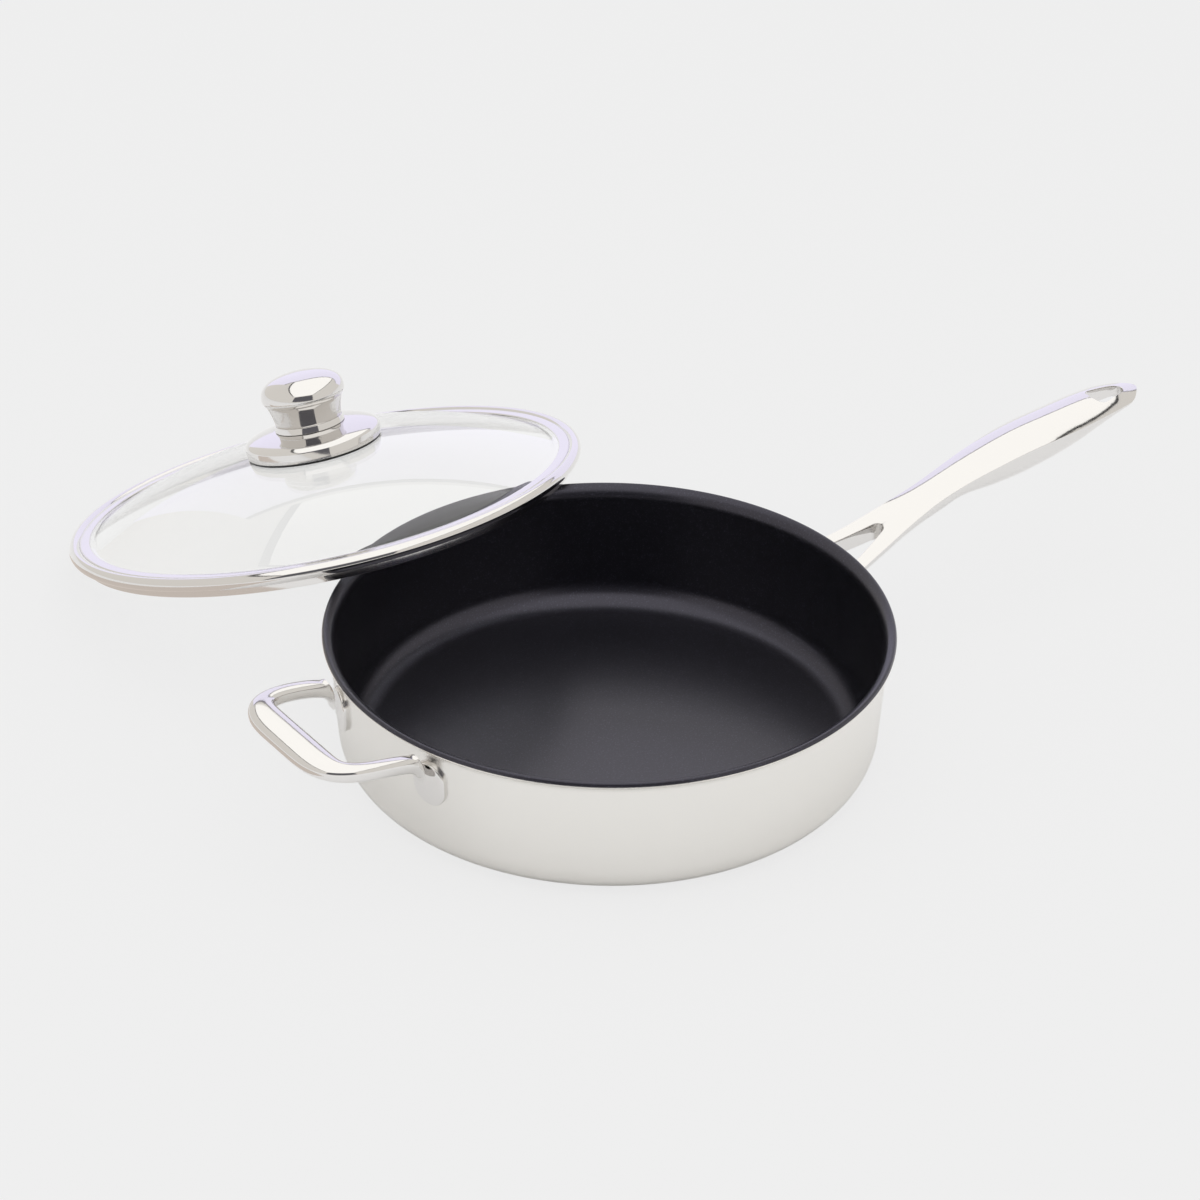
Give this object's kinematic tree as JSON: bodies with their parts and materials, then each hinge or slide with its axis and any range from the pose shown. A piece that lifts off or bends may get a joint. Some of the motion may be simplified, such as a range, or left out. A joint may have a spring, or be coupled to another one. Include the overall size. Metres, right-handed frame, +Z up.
{
  "type": "saute pan with lid",
  "caption": "Straight-sided clad steel saute pan with a non-stick lining, a forked long handle, a looped helper handle and a glass lid with a vent knob, leaning on the rim.",
  "frame": {"origin": "centre of the pan's flat base, on the surface it stands on", "axes": "+Z up, +X along the long handle, -X to the helper handle; the lid leans towards +Y"},
  "size_m": [0.5528, 0.5128, 0.1172],
  "materials": {
    "satin_steel": "satin, faint brushed lines round the wall",
    "polished_steel": "mirror polished casting",
    "core_aluminium": "rolled, seen only as a line in the rim",
    "nonstick_coating": "satin black, fine even grain",
    "tempered_glass": "clear, faint green tint at the edge",
    "black_silicone": "matt moulded",
    "hardware_steel": "turned and tumbled",
    "thread_brass": "turned"
  },
  "bodies": {
    "pan": {"outer_skin": "satin_steel", "aluminium_core": "core_aluminium", "inner_skin": "satin_steel", "nonstick_lining": "nonstick_coating", "long_handle": "polished_steel", "helper_handle": "polished_steel"},
    "lid": {"lid_glass": "tempered_glass", "rim_band": "polished_steel", "vent_seal": "black_silicone", "wave_washer": "hardware_steel", "knob_collar": "polished_steel", "knob_neck": "polished_steel", "knob_cap": "polished_steel", "knob_core": "hardware_steel", "thread_insert": "thread_brass", "lid_screw": "hardware_steel", "lock_washer": "hardware_steel", "cup_washer": "hardware_steel", "under_seal": "black_silicone", "seat_seal": "black_silicone"},
    "dial": {"vent_dial": "polished_steel"}
  },
  "joints": [
    {"name": "lid_lift", "type": "slide", "parent": "pan", "child": "lid", "axis": [0, 0, 1], "range_m": [0, 0.15]},
    {"name": "vent_turn", "type": "hinge", "parent": "lid", "child": "dial", "pos_m": [-0.02774, 0.23979, 0.07828], "axis": [-0.0336, 0.2903, 0.9564], "range_deg": [0, 45]}
  ]
}
